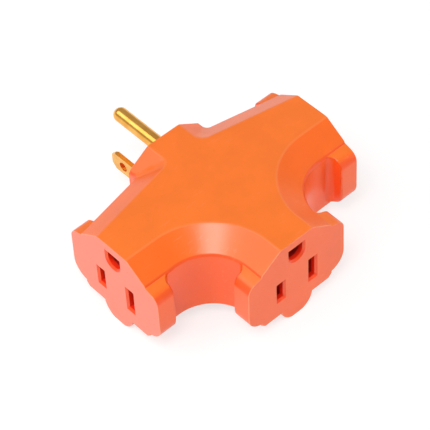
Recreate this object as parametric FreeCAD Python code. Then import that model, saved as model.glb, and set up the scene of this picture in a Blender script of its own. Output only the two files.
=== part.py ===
# Three-outlet plug adapter: a moulded vinyl cross with a grounded plug at the back and an outlet
# on its left, front and right ends. Millimetres. +Z is up, the origin is on the underside below
# the crossing of the arms, the plug points along +Y and the front outlet faces -Y.
import FreeCAD
import Part
import math
import os

Vec = FreeCAD.Vector
UP = Vec(0, 0, 1)
INWARD = Vec(0, 1, 0)

# Plug and outlet pattern
blade_spacing = 12.7
ground_rise = 11.9
blade_height = 6.35
blade_thickness = 1.5
blade_length = 17.5
blade_tip_bevel = 0.45
blade_tip_chamfer = 1.6
blade_hole_radius = 1.6
blade_hole_reach = 11.9
pin_radius = 2.38
pin_length = 22.2
pin_neck_radius = 2.1

# Heights of the body
slot_line = 15.3
belly_height = 5.0
band_drop = 5.4
roof_wall = 2.3

# Body in plan
side_reach = 39.7
front_reach = 34.15
plug_reach = 22.5
plug_stub = 3.07
plateau_half = 6.2
wall_half = 14.2
front_corner_radius = 14.3
back_corner_radius = 2.0
back_plateau_radius = 3.5

# Softened edges of the body
belly_bevel = 1.3
shoulder_bevel = 0.8
plateau_bevel = 0.4

# Keel ridges below the arms
keel_radius = 6.2
keel_centre_height = 5.8

# Ears at the outlet ends
ear_width = 5.0
ear_root = 2.0
ear_depth = 6.5
ear_drop = 0.35
ear_lean = 0.3
ear_top_slope = 17.0
ear_top_radius = 3.8
ear_foot_slope = 12.0
ear_foot_radius = 6.0
ear_foot_height = 7.1
ear_bevel = 0.5
ear_blend_radius = 2.3

# Openings in each outlet face
slot_width = 2.4
hot_slot_height = 7.0
neutral_slot_height = 8.8
ground_hole_radius = 2.7
ground_hole_top = 2.63
mouth_bevel = 0.65

# Clearances, and how close two edges lie when they count as one
seat_gap = 0.1
snug_gap = 0.05
pin_room_gap = 0.4
same_place = 1e-4

# Insulating blocks inside
face_wall = 2.0
plug_wall = 2.5
holder_front_wall = 2.2
holder_side_wall = 1.95
holder_neck_wall = 1.85
holder_roof_wall = 0.65
holder_length = 15.3
insert_length = 7.3
locating_peg_half = 1.1

# Sheet metal inside
contact_sheet = 0.6
contact_mouth_half = 1.6
contact_grip_half = 0.55
contact_spring_half = 1.5
contact_front_gap = 0.3
contact_flare_length = 2.7
contact_grip_length = 1.3
contact_ramp_length = 2.9
hot_leaf_half = 3.2
neutral_leaf_half = 3.9
tab_length = 5.0
tab_half = 2.1
bus_sheet = 0.8
bus_half = 2.5
bus_offset = 4.4
bus_room = 0.8
ground_bus_sheet = 1.0
ground_sleeve_radius = 2.45
ground_sleeve_length = 8.6
ground_sleeve_mouth = 3.2
ground_tail_half = 1.8
ground_tail_lap = 4.2
tongue_sheet = 1.2
tongue_seat = 0.5
collar_length = 2.0
foot_length = 5.4
foot_width = 5.35
blade_shoulder = 0.8

# Square stakes that lock each contact, blade foot and tongue to its strip
stake_half = 0.9
stake_spread = 0.3
stake_height = 0.4

# Values worked out from the sizes above
blade_offset = blade_spacing / 2
ground_line = slot_line + ground_rise
back_splay = (plug_reach - plug_stub - wall_half) / (side_reach - wall_half)
front_corner = min(front_corner_radius, front_reach - wall_half, side_reach - wall_half)
pocket_half = contact_mouth_half + contact_sheet + seat_gap
sleeve_room = ground_sleeve_radius + contact_sheet + seat_gap
holder_half = blade_offset + pocket_half + holder_side_wall
holder_neck_half = sleeve_room + holder_neck_wall
holder_span = bus_offset + bus_sheet + bus_room
holder_floor = slot_line - holder_span
holder_ceiling = slot_line + holder_span
holder_neck_top = ground_line + sleeve_room + holder_roof_wall
chamber_half = holder_half + seat_gap
neck_half = holder_neck_half + seat_gap
chamber_floor = holder_floor - seat_gap
chamber_top = holder_ceiling + seat_gap
neck_top = holder_neck_top + seat_gap
plateau_height = neck_top + roof_wall
shoulder_height = plateau_height - band_drop
holder_back = face_wall + seat_gap + holder_length
web_depth = holder_back + seat_gap
contact_front = face_wall + seat_gap + holder_front_wall + contact_front_gap
tab_end = web_depth + contact_sheet + tab_length
tab_joint_depth = tab_end - tab_length / 2
ground_tail_end = tab_end + ground_tail_lap
ground_joint_depth = ground_tail_end - ground_tail_half
hot_bus_top = slot_line - bus_offset
neutral_bus_foot = slot_line + bus_offset
ground_bus_top = ground_line - ground_sleeve_radius - contact_sheet
ground_bus_foot = ground_bus_top - ground_bus_sheet
collar_radius = ground_sleeve_radius + contact_sheet
insert_back = plug_reach - plug_wall - seat_gap
insert_front = insert_back - insert_length
foot_back = insert_front - seat_gap
foot_front = foot_back - foot_length
plug_joint_y = (foot_front + foot_back) / 2
foot_inner = blade_offset + blade_thickness / 2 - foot_width
plug_joint_x = (foot_inner + blade_offset - blade_thickness / 2) / 2
ear_half = wall_half + ear_width
outlets = {
    "left": Vec(-side_reach, 0, 0),
    "front": Vec(0, -front_reach, 0),
    "right": Vec(side_reach, 0, 0),
}


def box(x0, x1, y0, y1, z0, z1):
    """Block between two corners, whose values may come in either order."""
    low = Vec(min(x0, x1), min(y0, y1), min(z0, z1))
    return Part.makeBox(abs(x1 - x0), abs(y1 - y0), abs(z1 - z0), low)


def fuse(shapes):
    return shapes[0].multiFuse(shapes[1:]).removeSplitter()


def prism(wire, direction):
    return Part.Face(wire).extrude(direction)


def polygon(points):
    return Part.makePolygon(points + points[:1])


def ruled_solid(wires):
    """Solid through the wires in turn, with each flat stretch of its skin as one true plane."""
    faces = []
    for face in Part.makeLoft(wires, True, True).Faces:
        if isinstance(face.Surface, Part.BSplineSurface) and face.findPlane():
            corners = [vertex.Point for vertex in face.OuterWire.OrderedVertexes]
            face = Part.Face(polygon(corners))
        faces.append(face)
    skin = Part.Compound(faces)
    skin.sewShape()
    return Part.Solid(Part.Shell(skin.Faces)).removeSplitter()


def rounded_outline(corners, place):
    """Closed wire through corners (a, b, radius); place turns (a, b) into a point."""
    ends = []
    count = len(corners)
    for i in range(count):
        a, b, radius = corners[i]
        here = Vec(a, b, 0)
        before = Vec(*corners[i - 1][:2], 0) - here
        after = Vec(*corners[(i + 1) % count][:2], 0) - here
        before.normalize()
        after.normalize()
        half_angle = before.getAngle(after) / 2
        setback = radius / math.tan(half_angle)
        bisector = before + after
        if radius:
            bisector.normalize()
        middle = here + bisector * (radius / math.sin(half_angle) - radius)
        ends.append((here + before * setback, middle, here + after * setback, radius))
    edges = []
    for i in range(count):
        start, middle, end, radius = ends[i]
        if radius:
            edges.append(Part.Arc(place(start), place(middle), place(end)).toShape())
        following = ends[(i + 1) % count][0]
        if (following - end).Length > 1e-6:
            edges.append(Part.makeLine(place(end), place(following)))
    return Part.Wire(edges)


def at_outlet(shape, side):
    """Moves a shape from the outlet's own frame: x to the right, y inward, z up."""
    face_centre = outlets[side]
    placed = shape.copy()
    placed.rotate(Vec(0, 0, 0), UP, math.degrees(math.atan2(face_centre.x, -face_centre.y)))
    placed.translate(face_centre)
    return placed


def plan_outline(half, height):
    """Cross of four arms in plan, with curved front corners and splayed back edges."""
    inset = wall_half - half
    valley = half + (side_reach - half) * back_splay
    back_growth = (back_plateau_radius - back_corner_radius) / (wall_half - plateau_half)
    right_side = [
        (half, -front_reach, 0),
        (half, -half, front_corner + inset),
        (side_reach, -half, 0),
        (side_reach, half, 0),
        (half, valley, back_corner_radius + back_growth * inset),
        (half, plug_reach, 0),
    ]
    left_side = [(-a, b, radius) for a, b, radius in reversed(right_side)]
    return rounded_outline(right_side + left_side, lambda p: Vec(p.x, p.y, height))


def body_core():
    """The four arms: belly edge, side walls, shoulder edge, sloped band and plateau."""
    band_width = wall_half - plateau_half
    band_length = math.hypot(band_width, band_drop)
    inward = band_width / band_length
    upward = band_drop / band_length
    rings = [
        (wall_half - belly_bevel, belly_height),
        (wall_half, belly_height + belly_bevel),
        (wall_half, shoulder_height - shoulder_bevel),
        (wall_half - shoulder_bevel * inward, shoulder_height + shoulder_bevel * upward),
        (plateau_half + plateau_bevel * inward, plateau_height - plateau_bevel * upward),
        (plateau_half - plateau_bevel, plateau_height),
    ]
    return ruled_solid([plan_outline(half, height) for half, height in rings])


def keels():
    """Two crossing ridges with rounded flanks and a flat foot."""
    across = Part.makeCylinder(
        keel_radius, 2 * side_reach, Vec(-side_reach, 0, keel_centre_height), Vec(1, 0, 0)
    )
    along = Part.makeCylinder(
        keel_radius, front_reach + plug_reach, Vec(0, -front_reach, keel_centre_height), INWARD
    )
    slab = box(
        -side_reach, side_reach, -front_reach, plug_reach, 0, belly_height + belly_bevel
    )
    return fuse([across.common(slab), along.common(slab)])


def ear_pair():
    """Thick rounded ears beside one outlet face, each blended into the arm behind it.

    They are in the outlet's own frame.
    """
    top = shoulder_height - ear_drop
    top_half = ear_half - ear_lean
    rise = math.tan(math.radians(ear_top_slope)) * (top_half - wall_half)
    drop = math.tan(math.radians(ear_foot_slope)) * (ear_half - wall_half)
    root = wall_half - ear_root
    outline = rounded_outline(
        [
            (root, top, 0),
            (wall_half, top, 0),
            (top_half, top - rise, ear_top_radius),
            (ear_half, ear_foot_height + drop, ear_foot_radius),
            (wall_half, ear_foot_height, 0),
            (root, ear_foot_height, 0),
        ],
        lambda p: Vec(p.x, 0, p.y),
    )
    blend_x = wall_half + ear_blend_radius
    blend_y = ear_depth + ear_blend_radius
    blend = Part.makeCylinder(ear_blend_radius, shoulder_height, Vec(blend_x, blend_y, 0))
    beyond = box(blend_x, ear_half, ear_depth, blend_y, 0, shoulder_height)
    right = prism(outline, INWARD * blend_y).cut(fuse([blend, beyond]))
    back_edges = [
        edge
        for edge in right.Edges
        if abs(edge.BoundBox.YMin - ear_depth) < same_place
        and edge.BoundBox.YLength < same_place
        and edge.BoundBox.XMax > blend_x + same_place
    ]
    right = right.makeChamfer(ear_bevel, back_edges)
    left = right.mirror(Vec(0, 0, 0), Vec(1, 0, 0))
    return [left, right]


def ground_hole(extra, y0, y1, mouth=0.0):
    """U-shaped hole for the ground pin: flat side up, round side towards the slots."""
    wires = []
    for y, margin in ((y0, extra + mouth), (y1, extra)):
        half = ground_hole_radius + margin
        top = ground_line + ground_hole_top + margin
        right = Vec(half, y, ground_line)
        left = Vec(-half, y, ground_line)
        bottom = Vec(0, y, ground_line - half)
        edges = [
            Part.makeLine(right, Vec(half, y, top)),
            Part.makeLine(Vec(half, y, top), Vec(-half, y, top)),
            Part.makeLine(Vec(-half, y, top), left),
            Part.Arc(left, bottom, right).toShape(),
        ]
        wires.append(Part.Wire(edges))
    return ruled_solid(wires)


def blade_slot(u, height, extra, y0, y1, mouth=0.0):
    """Upright slot for a blade, which can widen towards y0."""
    wires = []
    for y, margin in ((y0, extra + mouth), (y1, extra)):
        half = slot_width / 2 + margin
        rise = height / 2 + margin
        corners = [
            Vec(u - half, y, slot_line - rise),
            Vec(u + half, y, slot_line - rise),
            Vec(u + half, y, slot_line + rise),
            Vec(u - half, y, slot_line + rise),
        ]
        wires.append(polygon(corners))
    return ruled_solid(wires)


def face_openings(extra, y0, y1, mouth=0.0):
    """The hot slot, the neutral slot and the ground hole of one outlet."""
    return [
        blade_slot(-blade_offset, hot_slot_height, extra, y0, y1, mouth),
        blade_slot(blade_offset, neutral_slot_height, extra, y0, y1, mouth),
        ground_hole(extra, y0, y1, mouth),
    ]


def outlet_cavity():
    """Room behind one outlet face for its holder and for the end of a ground pin."""
    low = box(-chamber_half, chamber_half, face_wall, web_depth, chamber_floor, chamber_top)
    high = box(-neck_half, neck_half, face_wall, web_depth, chamber_floor, neck_top)
    pin_room = Part.makeCylinder(
        pin_radius + pin_room_gap,
        pin_length + pin_room_gap - face_wall,
        Vec(0, face_wall, ground_line),
        INWARD,
    )
    mouths = face_openings(0, 0, mouth_bevel, mouth_bevel)
    throats = face_openings(0, mouth_bevel, face_wall)
    return [low, high, pin_room] + mouths + throats


def hub_cavity():
    """Cross-shaped room for the strips, and the pocket for the plug insert."""
    back = insert_back + seat_gap
    tongue_top = ground_bus_top + tongue_sheet + seat_gap
    x_end = side_reach - web_depth
    y_end = -(front_reach - web_depth)
    return [
        box(-x_end, x_end, -chamber_half, chamber_half, chamber_floor, chamber_top),
        box(-chamber_half, chamber_half, y_end, back, chamber_floor, chamber_top),
        box(-x_end, x_end, -neck_half, neck_half, chamber_floor, tongue_top),
        box(-neck_half, neck_half, y_end, back, chamber_floor, tongue_top),
        box(-neck_half, neck_half, insert_front - seat_gap, back, chamber_floor, neck_top),
    ]


def plug_openings(gap, y0, y1):
    """Openings that the two blades and the pin's neck pass through."""
    half = blade_thickness / 2 + gap
    rise = blade_height / 2 + gap
    holes = [
        box(u - half, u + half, y0, y1, slot_line - rise, slot_line + rise)
        for u in (-blade_offset, blade_offset)
    ]
    bore = Part.makeCylinder(pin_neck_radius + gap, y1 - y0, Vec(0, y0, ground_line), INWARD)
    return holes + [bore]


def make_body():
    ears = [at_outlet(ear, side) for side in outlets for ear in ear_pair()]
    solid = fuse([body_core(), keels()] + ears)
    cuts = hub_cavity() + plug_openings(snug_gap, insert_front, plug_reach)
    for side in outlets:
        cuts += [at_outlet(cut, side) for cut in outlet_cavity()]
    return solid.cut(fuse(cuts))


def make_holder():
    """Rigid block behind an outlet face, with a pocket for each contact."""
    front = face_wall + seat_gap
    pocket_front = front + holder_front_wall
    low = box(-holder_half, holder_half, front, holder_back, holder_floor, holder_ceiling)
    neck = box(
        -holder_neck_half, holder_neck_half, front, holder_back, holder_floor, holder_neck_top
    )
    pockets = []
    for u, leaf_half in ((-blade_offset, hot_leaf_half), (blade_offset, neutral_leaf_half)):
        rise = leaf_half + seat_gap
        pockets.append(
            box(
                u - pocket_half,
                u + pocket_half,
                pocket_front,
                holder_back,
                slot_line - rise,
                slot_line + rise,
            )
        )
    pockets.append(
        box(
            -sleeve_room,
            sleeve_room,
            pocket_front,
            holder_back,
            ground_line - sleeve_room,
            ground_line + sleeve_room,
        )
    )
    windows = face_openings(seat_gap, front, pocket_front)
    return fuse([low, neck]).cut(fuse(pockets + windows))


def make_plug_insert():
    """Rigid block that grips the blades and the pin, with a counterbore for the pin's collar."""
    low = box(
        -holder_half, holder_half, insert_front, insert_back, holder_floor, holder_ceiling
    )
    neck = box(
        -holder_neck_half,
        holder_neck_half,
        insert_front,
        insert_back,
        holder_floor,
        holder_neck_top,
    )
    counterbore = Part.makeCylinder(
        collar_radius + seat_gap,
        collar_length + seat_gap,
        Vec(0, insert_front, ground_line),
        INWARD,
    )
    holes = plug_openings(snug_gap, insert_front, insert_back)
    return fuse([low, neck]).cut(fuse(holes + [counterbore]))


def stake(x, y, face, level, sheet):
    """Square tenon from a face through a strip, and its flattened head beyond the strip.

    level is 1 when the strip lies above the face and -1 when it lies below.
    """
    far = face + level * sheet
    wide = stake_half + stake_spread
    tenon = box(x - stake_half, x + stake_half, y - stake_half, y + stake_half, face, far)
    head = box(x - wide, x + wide, y - wide, y + wide, far, far + level * stake_height)
    return [tenon, head]


def stake_hole(x, y, low, sheet):
    half = stake_half + snug_gap
    return box(x - half, x + half, y - half, y + half, low, low + sheet)


def make_blade_contact(u, leaf_half, level):
    """Folded spring with two leaves, and a tab staked to its strip.

    level is -1 for a tab below the leaves and 1 for a tab above them.
    """
    grip = contact_front + contact_flare_length
    ramp = grip + contact_grip_length
    spring = ramp + contact_ramp_length
    inner = [
        (contact_mouth_half, contact_front),
        (contact_grip_half, grip),
        (contact_grip_half, ramp),
        (contact_spring_half, spring),
        (contact_spring_half, web_depth),
    ]
    outer = [(a + contact_sheet, y) for a, y in inner[:-1]]
    outer.append((contact_spring_half + contact_sheet, web_depth + contact_sheet))
    half_outline = inner[::-1] + outer
    points = [Vec(u + a, y, slot_line - leaf_half) for a, y in half_outline]
    points += [Vec(u - a, y, slot_line - leaf_half) for a, y in reversed(half_outline)]
    leaves = prism(polygon(points), UP * (2 * leaf_half))
    face = slot_line + level * bus_offset
    riser = box(
        u - tab_half, u + tab_half, web_depth, web_depth + contact_sheet, slot_line, face
    )
    tab = box(
        u - tab_half, u + tab_half, web_depth, tab_end, face, face - level * contact_sheet
    )
    return fuse([leaves, riser, tab] + stake(u, tab_joint_depth, face, level, bus_sheet))


def make_ground_contact():
    """Split spring sleeve with a flat tail staked to the ground strip."""
    outer_radius = ground_sleeve_radius + contact_sheet
    axis_start = Vec(0, contact_front, ground_line)
    outer = Part.makeCylinder(outer_radius, ground_sleeve_length, axis_start, INWARD)
    inner = Part.makeCylinder(ground_sleeve_radius, ground_sleeve_length, axis_start, INWARD)
    mouth_half = ground_sleeve_mouth / 2
    sleeve_back = contact_front + ground_sleeve_length
    mouth = box(
        -mouth_half,
        mouth_half,
        contact_front,
        sleeve_back,
        ground_line,
        ground_line + outer_radius,
    )
    tail = box(
        -ground_tail_half,
        ground_tail_half,
        sleeve_back - contact_sheet,
        ground_tail_end,
        ground_bus_top,
        ground_bus_top + contact_sheet,
    )
    joint = stake(0, ground_joint_depth, ground_bus_top, -1, ground_bus_sheet)
    return fuse([outer.cut(inner).cut(mouth), tail] + joint)


def make_blade(side, level):
    """Plug blade with a bevelled tip, a hole, a shoulder and a foot staked to its strip.

    side is -1 for the hot blade and 1 for the neutral blade. level is -1 for a foot at the
    bottom and 1 for a foot at the top.
    """
    u = side * blade_offset
    half = blade_thickness / 2
    rise = blade_height / 2
    tip = plug_reach + blade_length
    tip_start = tip - blade_tip_chamfer
    tip_rise = rise - blade_tip_chamfer
    profile = polygon(
        [
            Vec(u - half, foot_back, slot_line - rise),
            Vec(u - half, tip_start, slot_line - rise),
            Vec(u - half, tip, slot_line - tip_rise),
            Vec(u - half, tip, slot_line + tip_rise),
            Vec(u - half, tip_start, slot_line + rise),
            Vec(u - half, foot_back, slot_line + rise),
        ]
    )
    plate = prism(profile, Vec(blade_thickness, 0, 0))
    tip_edges = [
        edge
        for edge in plate.Edges
        if edge.BoundBox.YMin > tip_start - same_place and edge.BoundBox.XLength < same_place
    ]
    plate = plate.makeChamfer(blade_tip_bevel, tip_edges)
    hole = Part.makeCylinder(
        blade_hole_radius,
        blade_thickness,
        Vec(u - half, plug_reach + blade_hole_reach, slot_line),
        Vec(1, 0, 0),
    )
    face = slot_line + level * bus_offset
    far_edge = slot_line - level * (rise + blade_shoulder)
    shoulder = box(u - half, u + half, foot_front, foot_back, face, far_edge)
    outer_x = side * (blade_offset + half)
    inner_x = side * foot_inner
    foot = box(outer_x, inner_x, foot_front, foot_back, face, face - level * blade_thickness)
    joint = stake(side * plug_joint_x, plug_joint_y, face, level, bus_sheet)
    return fuse([plate.cut(hole), shoulder, foot] + joint)


def make_ground_pin():
    """Round pin with a domed tip, a collar in the insert and a tongue staked to its strip."""
    tip = plug_reach + pin_length
    half_section = [
        (0, insert_front),
        (collar_radius, insert_front),
        (collar_radius, insert_front + collar_length),
        (pin_neck_radius, insert_front + collar_length),
        (pin_neck_radius, plug_reach),
        (pin_radius, plug_reach),
        (pin_radius, tip - pin_radius),
    ]
    points = [Vec(r, y, ground_line) for r, y in half_section]
    half_way = pin_radius * math.sqrt(0.5)
    crown = Vec(half_way, tip - pin_radius + half_way, ground_line)
    point = Vec(0, tip, ground_line)
    dome = Part.Arc(points[-1], crown, point).toShape()
    outline = Part.Wire(Part.makePolygon(points).Edges + [dome, Part.makeLine(point, points[0])])
    turned = Part.Face(outline).revolve(Vec(0, 0, ground_line), INWARD, 360)
    tongue_end = insert_front + tongue_seat
    tongue = box(
        -tab_half,
        tab_half,
        foot_front,
        tongue_end,
        ground_bus_top,
        ground_bus_top + tongue_sheet,
    )
    free_part = box(-tab_half, tab_half, foot_front, insert_front, 0, plateau_height)
    seated_part = Part.makeCylinder(
        collar_radius, tongue_seat, Vec(0, insert_front, ground_line), INWARD
    )
    tongue = tongue.common(fuse([free_part, seated_part]))
    joint = stake(0, plug_joint_y, ground_bus_top, -1, ground_bus_sheet)
    return fuse([turned, tongue] + joint)


def line_joint_places(side):
    """Stake centres in plan: the three outlets, then the blade."""
    u = side * blade_offset
    x = side_reach - tab_joint_depth
    return [
        (side * x, blade_offset),
        (-side * x, -blade_offset),
        (u, -(front_reach - tab_joint_depth)),
        (side * plug_joint_x, plug_joint_y),
    ]


def ground_joint_places():
    """Stake centres in plan: the three outlets, then the pin."""
    x = side_reach - ground_joint_depth
    return [
        (-x, 0),
        (x, 0),
        (0, -(front_reach - ground_joint_depth)),
        (0, plug_joint_y),
    ]


def make_line_bus(side, low):
    """Stamped strip that joins one blade to the contacts of the three outlets.

    side is -1 for the hot strip and 1 for the neutral strip.
    """
    u = side * blade_offset
    top = low + bus_sheet
    x_end = side_reach - web_depth - contact_sheet
    y_end = -(front_reach - web_depth - contact_sheet)
    arms = [
        box(u - bus_half, u + bus_half, y_end, foot_back, low, top),
        box(u, side * foot_inner, foot_front, foot_back, low, top),
        box(u, side * x_end, blade_offset - bus_half, blade_offset + bus_half, low, top),
        box(u, -side * x_end, -blade_offset - bus_half, -blade_offset + bus_half, low, top),
    ]
    holes = [stake_hole(x, y, low, bus_sheet) for x, y in line_joint_places(side)]
    holes.append(peg(u, low, top, seat_gap))
    return fuse(arms).cut(fuse(holes))


def peg(u, z0, z1, extra=0.0):
    """Square locating peg, or with an extra margin the hole that it fits."""
    half = locating_peg_half + extra
    return box(u - half, u + half, -half, half, z0, z1)


def make_ground_bus():
    x_end = side_reach - tab_end
    y_end = -(front_reach - tab_end)
    low = ground_bus_foot
    top = ground_bus_top
    across = box(-x_end, x_end, -bus_half, bus_half, low, top)
    along = box(-bus_half, bus_half, y_end, foot_back, low, top)
    holes = [stake_hole(x, y, low, ground_bus_sheet) for x, y in ground_joint_places()]
    holes.append(peg(0, low, top, seat_gap))
    return fuse([across, along]).cut(fuse(holes))


def make_bus_carrier():
    """Cross-shaped block between the hot strip and the neutral strip, with a peg for each."""
    x_end = side_reach - web_depth - seat_gap
    y_front = -(front_reach - web_depth) + seat_gap
    y_back = foot_front - seat_gap
    half = blade_offset + bus_half
    low = hot_bus_top + snug_gap
    high = neutral_bus_foot - snug_gap
    across = box(-x_end, x_end, -half, min(half, y_back), low, high)
    along = box(-half, half, y_front, y_back, low, high)
    tab_room = box(-half, half, 0, tab_end + seat_gap, low, high)
    rooms = [at_outlet(tab_room, side) for side in outlets]
    block = fuse([across, along]).cut(fuse(rooms))
    hot_peg = peg(-blade_offset, low, low - snug_gap - bus_sheet)
    neutral_peg = peg(blade_offset, high, high + snug_gap + bus_sheet)
    return fuse([block, hot_peg, neutral_peg])


def make_ground_insulator():
    """Plate between the neutral strip and the ground strip, with room for the stake heads."""
    top = ground_bus_foot - snug_gap
    low = neutral_bus_foot + bus_sheet + snug_gap
    x_end = side_reach - tab_end
    y_front = -(front_reach - tab_joint_depth)
    half = holder_neck_half - seat_gap
    across = box(-x_end, x_end, -half, half, low, top)
    front = box(-half, half, y_front, 0, low, top)
    back = box(-half, half, 0, foot_back, chamber_top, top)
    head_room = stake_half + stake_spread + seat_gap
    recess_floor = ground_bus_foot - stake_height - seat_gap
    recesses = [
        box(x - head_room, x + head_room, y - head_room, y + head_room, recess_floor, top)
        for x, y in ground_joint_places()
    ]
    plate = fuse([across, front, back]).cut(fuse(recesses))
    return fuse([plate, peg(0, top, ground_bus_top)])


def make_parts():
    parts = {"body": make_body()}
    for side in outlets:
        parts[side + "_contact_holder"] = at_outlet(make_holder(), side)
        hot = make_blade_contact(-blade_offset, hot_leaf_half, -1)
        parts[side + "_hot_contact"] = at_outlet(hot, side)
        neutral = make_blade_contact(blade_offset, neutral_leaf_half, 1)
        parts[side + "_neutral_contact"] = at_outlet(neutral, side)
        parts[side + "_ground_contact"] = at_outlet(make_ground_contact(), side)
    parts["plug_insert"] = make_plug_insert()
    parts["hot_blade"] = make_blade(-1, -1)
    parts["neutral_blade"] = make_blade(1, 1)
    parts["ground_pin"] = make_ground_pin()
    parts["hot_bus"] = make_line_bus(-1, hot_bus_top - bus_sheet)
    parts["neutral_bus"] = make_line_bus(1, neutral_bus_foot)
    parts["ground_bus"] = make_ground_bus()
    parts["bus_carrier"] = make_bus_carrier()
    parts["ground_insulator"] = make_ground_insulator()
    return parts


os.makedirs("parts", exist_ok=True)
for name, shape in make_parts().items():
    shape.exportStep("parts/" + name + ".step")
    print(name, "solids", len(shape.Solids), "volume", round(shape.Volume, 1), shape.isValid())
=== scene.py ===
import math

import bmesh
import bpy
from mathutils import Matrix, Vector


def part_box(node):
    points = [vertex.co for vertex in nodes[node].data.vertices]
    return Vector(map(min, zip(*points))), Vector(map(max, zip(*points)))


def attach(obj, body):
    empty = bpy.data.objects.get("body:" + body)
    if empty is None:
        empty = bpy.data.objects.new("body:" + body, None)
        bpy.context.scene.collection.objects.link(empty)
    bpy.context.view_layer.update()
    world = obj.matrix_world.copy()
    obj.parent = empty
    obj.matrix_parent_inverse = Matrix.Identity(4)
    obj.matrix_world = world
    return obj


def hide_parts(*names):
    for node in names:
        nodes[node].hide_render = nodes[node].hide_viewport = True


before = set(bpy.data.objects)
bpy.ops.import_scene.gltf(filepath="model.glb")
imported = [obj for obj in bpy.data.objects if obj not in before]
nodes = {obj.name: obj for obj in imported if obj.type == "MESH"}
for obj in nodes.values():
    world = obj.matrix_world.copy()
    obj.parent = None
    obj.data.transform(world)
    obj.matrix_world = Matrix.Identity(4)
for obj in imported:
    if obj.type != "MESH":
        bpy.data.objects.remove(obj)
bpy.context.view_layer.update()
mm = 0.001


# Node helpers

def addNode(tree, kind, label, **values):
    # values name the node's inputs, with _ for a space, or its own settings
    node = tree.nodes.new(kind)
    node.label = label
    for key, value in values.items():
        socket = key.replace("_", " ")
        if socket in node.inputs:
            node.inputs[socket].default_value = value
        else:
            setattr(node, key, value)
    return node


def feed(tree, socket, value):
    # value is another node's output, a colour or a number
    if isinstance(value, bpy.types.NodeSocket):
        tree.links.new(value, socket)
    elif isinstance(value, tuple):
        socket.default_value = (*value, 1.0)
    else:
        socket.default_value = value


def coordinates(tree, kind):
    return tree.nodes.new("ShaderNodeTexCoord").outputs[kind]


def separate(tree, vector, label):
    # X, Y and Z of a vector
    node = addNode(tree, "ShaderNodeSeparateXYZ", label)
    tree.links.new(vector, node.inputs["Vector"])
    return node.outputs


def remap(tree, source, label, given, wanted=(0.0, 1.0)):
    # from one range to another, held at the ends
    node = addNode(
        tree,
        "ShaderNodeMapRange",
        label,
        From_Min=given[0],
        From_Max=given[1],
        To_Min=wanted[0],
        To_Max=wanted[1],
    )
    tree.links.new(source, node.inputs["Value"])
    return node.outputs["Result"]


def calculate(tree, operation, first, second):
    node = tree.nodes.new("ShaderNodeMath")
    node.operation = operation
    feed(tree, node.inputs[0], first)
    feed(tree, node.inputs[1], second)
    return node.outputs[0]


mixSockets = {"RGBA": (6, 7, 2), "FLOAT": (2, 3, 0)}  # where a Mix node keeps A, B and the result


def mix(tree, factor, label, first, second, kind="RGBA"):
    firstSocket, secondSocket, result = mixSockets[kind]
    node = addNode(tree, "ShaderNodeMix", label, data_type=kind)
    tree.links.new(factor, node.inputs["Factor"])
    feed(tree, node.inputs[firstSocket], first)
    feed(tree, node.inputs[secondSocket], second)
    return node.outputs[result]


def addNoise(tree, place, label, scale, **values):
    noise = addNode(tree, "ShaderNodeTexNoise", label, **values)
    tree.links.new(place, noise.inputs["Vector"])
    tree.links.new(scale, noise.inputs["Scale"])
    return noise.outputs["Fac"]


def addMapping(tree, place, label, **values):
    mapping = addNode(tree, "ShaderNodeMapping", label, **values)
    tree.links.new(place, mapping.inputs["Vector"])
    return mapping.outputs["Vector"]


def startGroup(name, inputs, outputs):
    # float inputs with their defaults, and float outputs
    group = bpy.data.node_groups.new(name, "ShaderNodeTree")
    for label, default in inputs.items():
        socket = group.interface.new_socket(label, in_out="INPUT", socket_type="NodeSocketFloat")
        socket.default_value = default
    for label in outputs:
        group.interface.new_socket(label, in_out="OUTPUT", socket_type="NodeSocketFloat")
    given = group.nodes.new("NodeGroupInput").outputs
    return group, given, group.nodes.new("NodeGroupOutput")


def finishGroup(group, result, **outputs):
    for name, value in outputs.items():
        group.links.new(value, result.inputs[name])
    return group


# Surface effects that several materials share

mouldedLook = {
    "scales": {"Grain Scale": 2600.0, "Mottle Scale": 90.0, "Scuff Scale": 900.0},
    "scuffTurn": (0.0, 0.0, 0.9),
    "scuffStretch": (0.15, 1.5, 1.0),
    "scuffLines": (0.6, 0.7),  # the part of the streaks that shows
    "scuffPatches": (0.52, 0.62),  # and of the mottling that carries scuffs
    "mottleHeight": 2.0,  # against the grain's 1
    "scuffDepth": 0.4,
}


def makeMouldedSurface():
    # fine grain, slow mottling and sparse scuffs of any moulded plastic
    look = mouldedLook
    group, given, result = startGroup(
        "moulded surface", look["scales"], ("Grain", "Mottle", "Scuffs", "Height")
    )
    place = coordinates(group, "Object")
    grain = addNoise(group, place, "grain", given["Grain Scale"], Detail=3.0, Roughness=0.65)
    mottle = addNoise(group, place, "mottling", given["Mottle Scale"], Detail=4.0, Roughness=0.55)
    along = addMapping(
        group, place, "scuff direction", Rotation=look["scuffTurn"], Scale=look["scuffStretch"]
    )
    streaks = addNoise(group, along, "streaks", given["Scuff Scale"], Detail=4.0)
    patches = remap(group, mottle, "scuffed patches", look["scuffPatches"])
    lines = remap(group, streaks, "scuff lines", look["scuffLines"])
    scuffs = calculate(group, "MULTIPLY", lines, patches)
    swell = calculate(group, "MULTIPLY", mottle, look["mottleHeight"])
    cut = calculate(group, "MULTIPLY", scuffs, look["scuffDepth"])
    height = calculate(group, "SUBTRACT", calculate(group, "ADD", grain, swell), cut)
    return finishGroup(group, result, Grain=grain, Mottle=mottle, Scuffs=scuffs, Height=height)


drawnLook = {
    "scales": {"Line Scale": 1500.0, "Tarnish Scale": 260.0},
    "stretch": (1.0, 0.04, 1.0),
}


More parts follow.
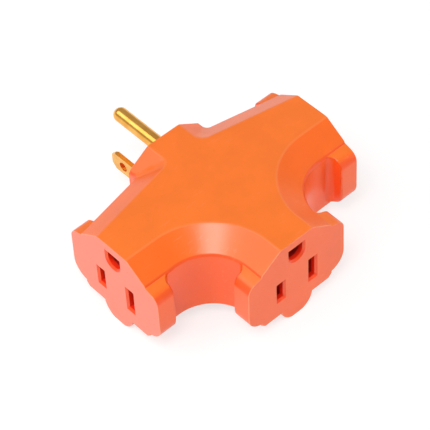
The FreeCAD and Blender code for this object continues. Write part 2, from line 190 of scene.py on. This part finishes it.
def makeDrawnMetal():
    # drawing marks along the plug, and tarnish, for stamped and turned brass
    look = drawnLook
    group, given, result = startGroup("drawn metal", look["scales"], ("Lines", "Tarnish", "Height"))
    place = coordinates(group, "Object")
    along = addMapping(group, place, "along the plug", Scale=look["stretch"])
    lines = addNoise(group, along, "drawing marks", given["Line Scale"], Detail=2.0)
    tarnish = addNoise(group, place, "tarnish", given["Tarnish Scale"], Detail=5.0, Roughness=0.6)
    return finishGroup(group, result, Lines=lines, Tarnish=tarnish, Height=lines)


# Materials

noiseSpread = (0.3, 0.7)  # where nearly all of a fine noise lies
mottleSpread = (0.35, 0.65)


def startMaterial(name, **settings):
    # settings are the shader's own constant inputs
    material = bpy.data.materials.new(name)
    material.use_nodes = True
    tree = material.node_tree
    shader = tree.nodes["Principled BSDF"]
    for key, value in settings.items():
        shader.inputs[key.replace("_", " ")].default_value = value
    return material, tree, shader


def addSurface(tree, group, **values):
    # a shared effect, placed in one material with its own values
    return addNode(tree, "ShaderNodeGroup", group.name, node_tree=group, **values).outputs


def finishMaterial(tree, shader, look, colour, gloss, height):
    roughness = remap(tree, gloss, "gloss", noiseSpread, look["roughness"])
    bump = addNode(
        tree, "ShaderNodeBump", "relief", Strength=look["reliefStrength"], Distance=look["relief"]
    )
    tree.links.new(height, bump.inputs["Height"])
    tree.links.new(bump.outputs["Normal"], shader.inputs["Normal"])
    tree.links.new(colour, shader.inputs["Base Color"])
    tree.links.new(roughness, shader.inputs["Roughness"])


vinylLook = {
    "slopeShading": {  # painted light and shade by how level the surface lies: 0 for a wall, 1 for the flat top; the top lit orange, mid slopes shaded deep red, walls pinker
        0.08: (0.985, 0.130, 0.014),
        0.30: (0.930, 0.086, 0.005),
        0.72: (0.920, 0.095, 0.005),
        0.82: (0.950, 0.143, 0.008),
        0.97: (0.920, 0.180, 0.017),
    },
    "paler": 1.07,  # the light spots of the mottling
    "leftSheenColour": (0.985, 0.205, 0.118),  # painted sheen on the left outlet's face, paler pink as the left light and the floor's reflection make it
    "leftSheenTurn": (-0.80, -0.98),  # by how far a surface faces left
    "leftSheenPlace": (-35 * mm, -38 * mm),  # and by how near the left end it lies
    "scuffed": (0.980, 0.270, 0.100),
    "scuffs": 0.4,
    "paintedHighlightRim": (1.000, 0.400, 0.220),  # worn edges with a painted highlight along them
    "paintedHighlightRimMix": 0.6,
    "inside": (0.950, 0.032, 0.006),  # painted shade: deeper red on the walls of the slots and holes
    "roughness": (0.27, 0.35),
    "relief": 0.03 * mm,
    "reliefStrength": 0.4,
}


def readAttribute(tree, name):
    return addNode(tree, "ShaderNodeAttribute", name, attribute_name=name).outputs["Fac"]


# painted light and shade: a colour for each slope, as light from above and the floor would give it
def paintedSlopeShading(tree, upward):
    stopColours = vinylLook["slopeShading"]
    ramp = addNode(tree, "ShaderNodeValToRGB", "colour by slope")
    stops = ramp.color_ramp.elements
    while len(stops) < len(stopColours):
        stops.new(0.5)
    for stop, (place, colour) in zip(stops, stopColours.items()):
        stop.position = place
        stop.color = (*colour, 1.0)
    tree.links.new(calculate(tree, "ABSOLUTE", upward, 0.0), ramp.inputs["Fac"])
    return ramp.outputs["Color"]


def makeVinyl(surface):
    look = vinylLook
    material, tree, shader = startMaterial("orange vinyl", IOR=1.53)
    finish = addSurface(tree, surface)
    facing = separate(tree, coordinates(tree, "Normal"), "direction of the surface")
    place = separate(tree, coordinates(tree, "Object"), "place on the body")

    # painted light and shade: the base colour changes with how level the surface lies
    colour = paintedSlopeShading(tree, facing["Z"])
    paler = addNode(tree, "ShaderNodeVectorMath", "paler", operation="SCALE", Scale=look["paler"])
    tree.links.new(colour, paler.inputs[0])
    mottle = remap(tree, finish["Mottle"], "mottling", mottleSpread)
    colour = mix(tree, mottle, "mottled", colour, paler.outputs[0])

    # painted light and reflection: faces that turn left near the left end are made paler pink
    turned = remap(tree, facing["X"], "facing left", look["leftSheenTurn"])
    leftEnd = remap(tree, place["X"], "left end", look["leftSheenPlace"])
    paintedLeftSheen = calculate(tree, "MULTIPLY", turned, leftEnd)
    colour = mix(tree, paintedLeftSheen, "paintedLeftSheen", colour, look["leftSheenColour"])

    scuffs = calculate(tree, "MULTIPLY", finish["Scuffs"], look["scuffs"])
    colour = mix(tree, scuffs, "scuffs", colour, look["scuffed"])
    # wear and a painted highlight along the rounded edges and the upward chamfers
    paintedHighlightRim = calculate(tree, "MULTIPLY", readAttribute(tree, "paintedHighlightRim"), look["paintedHighlightRimMix"])
    colour = mix(tree, paintedHighlightRim, "worn rim", colour, look["paintedHighlightRim"])
    # painted shade: the mouths and walls of the openings are made deeper red
    inside = readAttribute(tree, "inside")
    colour = mix(tree, inside, "openings", colour, look["inside"])
    finishMaterial(tree, shader, look, colour, finish["Grain"], finish["Height"])
    return material


insulatorLook = {
    "grain": 1800.0,
    "dark": (0.42, 0.014, 0.010),
    "pale": (0.52, 0.018, 0.012),
    "roughness": (0.45, 0.6),
    "relief": 0.03 * mm,
    "reliefStrength": 0.3,
}


def makeInsulator(surface):
    look = insulatorLook
    material, tree, shader = startMaterial("inner moulding", IOR=1.5)
    finish = addSurface(tree, surface, Grain_Scale=look["grain"])
    mottle = remap(tree, finish["Mottle"], "mottling", mottleSpread)
    colour = mix(tree, mottle, "mottled brown", look["dark"], look["pale"])
    finishMaterial(tree, shader, look, colour, finish["Grain"], finish["Height"])
    return material


brassRelief = 0.01 * mm
tarnishSpread = (0.4, 0.75)
brassLooks = {
    "plug_brass": {
        "bright": (0.95, 0.50, 0.115),
        "dull": (0.84, 0.37, 0.06),
        "roughness": (0.17, 0.23),
        "relief": brassRelief,
        "reliefStrength": 0.05,
    },
    "spring_brass": {
        "bright": (0.80, 0.50, 0.18),
        "dull": (0.60, 0.33, 0.10),
        "roughness": (0.28, 0.40),
        "relief": brassRelief,
        "reliefStrength": 0.2,
    },
    "strip_brass": {
        "bright": (0.74, 0.46, 0.17),
        "dull": (0.52, 0.29, 0.09),
        "roughness": (0.34, 0.48),
        "relief": brassRelief,
        "reliefStrength": 0.2,
    },
}


def makeBrass(name, metal):
    look = brassLooks[name]
    material, tree, shader = startMaterial(name.replace("_", " "), Metallic=1.0)
    finish = addSurface(tree, metal)
    tarnish = remap(tree, finish["Tarnish"], "tarnish", tarnishSpread)
    colour = mix(tree, tarnish, "tarnished brass", look["bright"], look["dull"])
    finishMaterial(tree, shader, look, colour, finish["Lines"], finish["Height"])
    return material


def makeMaterials():
    # one for each of the frame's slots, by the slot's name
    surface = makeMouldedSurface()
    metal = makeDrawnMetal()
    made = {"orange_vinyl": makeVinyl(surface), "insulating_plastic": makeInsulator(surface)}
    for name in brassLooks:
        made[name] = makeBrass(name, metal)
    return made


def dressNodes(made):
    for node in nodes.values():
        for slot in node.material_slots:
            slot.material = made[slot.material.name.split(".")[0]]


# Vinyl skin: the moulded body as one smooth piece

skinLook = {
    "mergeDistance": 0.002 * mm,
    "flatAngle": math.radians(0.5),
    "onFace": 0.01 * mm,  # how near an outlet's face counts as on it
    "edgeRadius": 0.18 * mm,
    "edgeSegments": 2,
    "sharpAngle": math.radians(50),
    "mouthAngle": math.radians(24),  # the same for the edges of the openings
    "plugHoles": (8 * mm, 11.5 * mm, 29.5 * mm),  # half width, foot and top, kept crisp
    "openings": (9.5 * mm, 9 * mm, 31 * mm),  # the same for each outlet's slots and hole
    "depths": (0.05 * mm, 0.65 * mm, 2.1 * mm),  # start of an opening, end of its mouth and throat
    "mouthShade": 0.35,
    "chamferAngles": (math.radians(12), math.radians(50)),
    "chamferWidth": 2.0 * mm,
    "chamferSteps": 2,
    "wornAndLitSlope": 0.85,  # chamfers that lie flatter than this, facing up to the lamps, get wear and a painted highlight
    "chamferWearAndHighlight": 0.16,
    "strengths": (-16384, 16384),  # Blender's values for a weak and a strong face
}


def endEdges(work, planes, back):
    # outline of the three outlet faces and of the plug's face
    look = skinLook
    near = look["onFace"]
    halfWidth, foot, top = look["plugHoles"]
    chosen = []
    for edge in work.edges:
        points = [vertex.co for vertex in edge.verts]
        onOutlet = any(
            all(abs(point[axis] - place) < near for point in points) for axis, place, _ in planes
        )
        onPlug = all(abs(point.y - back) < near for point in points)
        inHole = all(abs(point.x) < halfWidth and foot < point.z < top for point in points)
        sharp = edge.is_convex and edge.calc_face_angle(0.0) > look["sharpAngle"]
        if sharp and (onOutlet or (onPlug and not inHole)):
            chosen.append(edge)
    return chosen


def paint(face, layer, value):
    for loop in face.loops:
        loop[layer] = value


def markOpenings(work, planes, layer):
    # how far into an opening each face lies, for its painted shade: 0 outside, 1 on a slot's walls
    look = skinLook
    halfWidth, foot, top = look["openings"]
    start, mouth, throat = look["depths"]
    for face in work.faces:
        centre = face.calc_center_median()
        for axis, place, outward in planes:
            depth = (place - centre[axis]) * outward
            near = abs(centre[1 - axis]) < halfWidth and foot < centre.z < top
            if near and start < depth < throat:
                paint(face, layer, look["mouthShade"] if depth < mouth else 1.0)


def roundEnds(work, edges, paintedHighlightRim):
    rounded = bmesh.ops.bevel(
        work,
        geom=edges,
        offset=skinLook["edgeRadius"],
        offset_type="OFFSET",
        segments=skinLook["edgeSegments"],
        profile=0.5,
        affect="EDGES",
        clamp_overlap=False,
        material=-1,
    )
    # the rounded edges get wear and a painted highlight
    for face in rounded["faces"]:
        paint(face, paintedHighlightRim, 1.0)


def bordersEdge(face):
    # a narrow strip along an edge that turns by more than a curve's facets do
    look = skinLook
    low, high = look["chamferAngles"]
    for edge in face.edges:
        if low < edge.calc_face_angle(0.0) < high:
            start, end = (vertex.co for vertex in edge.verts)
            along = (end - start).normalized()
            corners = (vertex.co - start for vertex in face.verts)
            widths = ((corner - along * corner.dot(along)).length for corner in corners)
            if max(widths) < look["chamferWidth"]:
                return True
    return False


def carriesOn(face, found):
    # a small face that runs on smoothly from a strip
    look = skinLook
    curve = look["chamferAngles"][0]
    small = max(edge.calc_length() for edge in face.edges) < look["chamferWidth"]
    return small and any(
        edge.calc_face_angle(1.0) < curve and not found.isdisjoint(edge.link_faces)
        for edge in face.edges
    )


def findChamfers(work):
    # the strips along the edges, with the small faces that carry each one on
    found = {face for face in work.faces if bordersEdge(face)}
    for _ in range(skinLook["chamferSteps"]):
        for face in work.faces:
            if face not in found and carriesOn(face, found):
                found.add(face)
    return found


def shadeFaces(work, inside, paintedHighlightRim):
    # chamfers take their shading from the broad faces beside them, as a face strength does
    look = skinLook
    strength = work.faces.layers.int.new("__mod_weightednormals_faceweight")
    weak, strong = look["strengths"]
    chamfers = findChamfers(work)
    print("skin:", len(chamfers), "chamfer faces")
    for face in work.faces:
        face.smooth = True
        face[strength] = weak if face in chamfers else strong
        # upward chamfers get a fainter wear and painted highlight
        if face in chamfers and face.normal.z > look["wornAndLitSlope"]:
            paint(face, paintedHighlightRim, look["chamferWearAndHighlight"])
    for edge in work.edges:
        atMouth = any(loop[inside] > 0.0 for loop in edge.link_loops)
        limit = look["mouthAngle"] if atMouth else look["sharpAngle"]
        edge.smooth = edge.calc_face_angle(0.0) < limit


def makeSkin(material):
    look = skinLook
    work = bmesh.new()
    work.from_mesh(nodes["body"].data)
    bmesh.ops.remove_doubles(work, verts=work.verts, dist=look["mergeDistance"])
    bmesh.ops.dissolve_limit(work, angle_limit=look["flatAngle"], verts=work.verts, edges=work.edges)
    low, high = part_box("body")
    planes = (0, low[0], -1), (0, high[0], 1), (1, low[1], -1)  # axis, place, outward sign
    edges = endEdges(work, planes, high[1])
    print("skin:", len(work.faces), "faces,", len(edges), "edges to round")
    inside = work.loops.layers.float.new("inside")
    paintedHighlightRim = work.loops.layers.float.new("paintedHighlightRim")
    markOpenings(work, planes, inside)
    roundEnds(work, edges, paintedHighlightRim)
    shadeFaces(work, inside, paintedHighlightRim)
    mesh = bpy.data.meshes.new("vinylSkin")
    work.to_mesh(mesh)
    work.free()
    mesh.materials.clear()
    mesh.materials.append(material)
    skin = bpy.data.objects.new("vinylSkin", mesh)
    bpy.context.scene.collection.objects.link(skin)
    weighted = skin.modifiers.new("flat faces stay flat", "WEIGHTED_NORMAL")
    weighted.keep_sharp = True
    weighted.mode = "CORNER_ANGLE"
    weighted.use_face_influence = True
    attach(skin, "root")
    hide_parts("body")


# Studio

lamps = {  # direction, distance, size, power, and whether the gloss shows it
    "key softbox": ((-0.38, -0.28, 0.88), 0.7, (0.24, 0.22), 1.85, True),
    "back softbox": ((-0.53, 0.28, 0.78), 0.7, (0.78, 0.46), 1.8, True),
    "left fill": ((-0.95, 0.15, 0.28), 0.8, (0.50, 0.40), 1.25, False),
    "right fill": ((0.62, -0.66, 0.42), 0.8, (0.50, 0.40), 2.0, False),
    "back fill": ((0.80, 0.42, 0.42), 0.8, (0.50, 0.40), 0.75, False),
}


def makeLamps():
    for name, (direction, distance, size, power, shines) in lamps.items():
        light = bpy.data.lights.new(name, "AREA")
        light.shape = "RECTANGLE"
        light.size, light.size_y = size
        light.energy = power
        lamp = bpy.data.objects.new(name, light)
        outward = Vector(direction).normalized()
        lamp.location = outward * distance
        lamp.rotation_mode = "QUATERNION"
        lamp.rotation_quaternion = outward.to_track_quat("Z", "Y")
        lamp.visible_glossy = shines
        bpy.context.scene.collection.objects.link(lamp)


def shownRay(tree):
    # 1 for the rays that show the studio itself, in the picture or in a reflection
    path = tree.nodes.new("ShaderNodeLightPath").outputs
    seen = calculate(tree, "MAXIMUM", path["Is Camera Ray"], path["Is Glossy Ray"])
    return calculate(tree, "MAXIMUM", seen, path["Is Transmission Ray"])


studio = {
    "floorHalf": 2.0,
    "floorHeight": -0.05 * mm,
    "floorColour": (0.88, 0.88, 0.88, 1.0),  # as the object is lit by it
    "shadowColour": (0.36, 0.36, 0.36, 1.0),  # as it is seen, with the glow added
    "floorGlow": 0.70,
    "ambient": 0.24,
    "room": 0.30,
    "backdrop": 1.0,
    "backdropFrom": (-0.35, 0.15),  # along y, from the room to the backdrop
    "ceiling": 0.48,
    "ceilingFrom": (0.06, 0.22),  # upwards, from the walls to the ceiling
}


def floorMaterial():
    material = bpy.data.materials.new("pale floor")
    material.use_nodes = True
    tree = material.node_tree
    tree.nodes.remove(tree.nodes["Principled BSDF"])
    pale = addNode(tree, "ShaderNodeBsdfDiffuse", "pale paper", Color=studio["floorColour"])
    shown = addNode(tree, "ShaderNodeBsdfDiffuse", "shadow holder", Color=studio["shadowColour"])
    glow = addNode(tree, "ShaderNodeEmission", "white", Strength=studio["floorGlow"])
    lit = tree.nodes.new("ShaderNodeAddShader")
    tree.links.new(shown.outputs[0], lit.inputs[0])
    tree.links.new(glow.outputs[0], lit.inputs[1])
    choice = tree.nodes.new("ShaderNodeMixShader")
    tree.links.new(shownRay(tree), choice.inputs[0])
    tree.links.new(pale.outputs[0], choice.inputs[1])
    tree.links.new(lit.outputs[0], choice.inputs[2])
    tree.links.new(choice.outputs[0], tree.nodes["Material Output"].inputs["Surface"])
    return material


def makeFloor():
    # pale floor that shows white and keeps the object's soft shadow
    work = bmesh.new()
    bmesh.ops.create_grid(work, x_segments=1, y_segments=1, size=studio["floorHalf"])
    bmesh.ops.translate(work, verts=work.verts, vec=(0.0, 0.0, studio["floorHeight"]))
    mesh = bpy.data.meshes.new("floor")
    work.to_mesh(mesh)
    work.free()
    mesh.materials.append(floorMaterial())
    floor = bpy.data.objects.new("floor", mesh)
    bpy.context.scene.collection.objects.link(floor)


def makeWorld():
    # white backdrop behind, a dimmer room and ceiling in reflections, and a plain ambient light
    world = bpy.data.worlds.new("studio")
    world.use_nodes = True
    bpy.context.scene.world = world
    tree = world.node_tree
    direction = separate(tree, coordinates(tree, "Generated"), "direction")
    wallLevels = studio["room"], studio["backdrop"]
    walls = remap(tree, direction["Y"], "room or backdrop", studio["backdropFrom"], wallLevels)
    high = remap(tree, direction["Z"], "up to the ceiling", studio["ceilingFrom"])
    room = mix(tree, high, "room", walls, studio["ceiling"], "FLOAT")
    path = tree.nodes.new("ShaderNodeLightPath")
    shown = calculate(tree, "MAXIMUM", room, path.outputs["Is Camera Ray"])
    strength = mix(tree, shownRay(tree), "strength", studio["ambient"], shown, "FLOAT")
    background = tree.nodes["Background"]
    background.inputs["Color"].default_value = (1.0, 1.0, 1.0, 1.0)
    tree.links.new(strength, background.inputs["Strength"])


viewpoint = {
    "target": (-1.0 * mm, -0.3 * mm, 16.7 * mm),
    "azimuth": math.radians(-40.124),
    "elevation": math.radians(49.044),
    "roll": math.radians(-3.295),
    "distance": 572.2 * mm,
    "lens": 161.7,
    "sensor": 36.0,
    "clipStart": 10 * mm,
}


def makeCamera():
    look = viewpoint
    data = bpy.data.cameras.new("camera")
    data.lens = look["lens"]
    data.sensor_width = look["sensor"]
    data.clip_start = look["clipStart"]
    camera = bpy.data.objects.new("camera", data)
    azimuth, elevation = look["azimuth"], look["elevation"]
    level = math.cos(elevation)
    back = Vector((math.sin(azimuth) * level, -math.cos(azimuth) * level, math.sin(elevation)))
    upright = back.to_track_quat("Z", "Y").to_matrix().to_4x4()
    turn = Matrix.Rotation(look["roll"], 4, back) @ upright
    camera.matrix_world = Matrix.Translation(Vector(look["target"]) + back * look["distance"]) @ turn
    bpy.context.scene.collection.objects.link(camera)
    bpy.context.scene.camera = camera


bpy.context.scene.view_settings.view_transform = "Standard"
makeCamera()
materials = makeMaterials()
dressNodes(materials)
print("materials made")
makeSkin(materials["orange_vinyl"])
print("skin made")
makeLamps()
makeFloor()
makeWorld()
print("studio made")
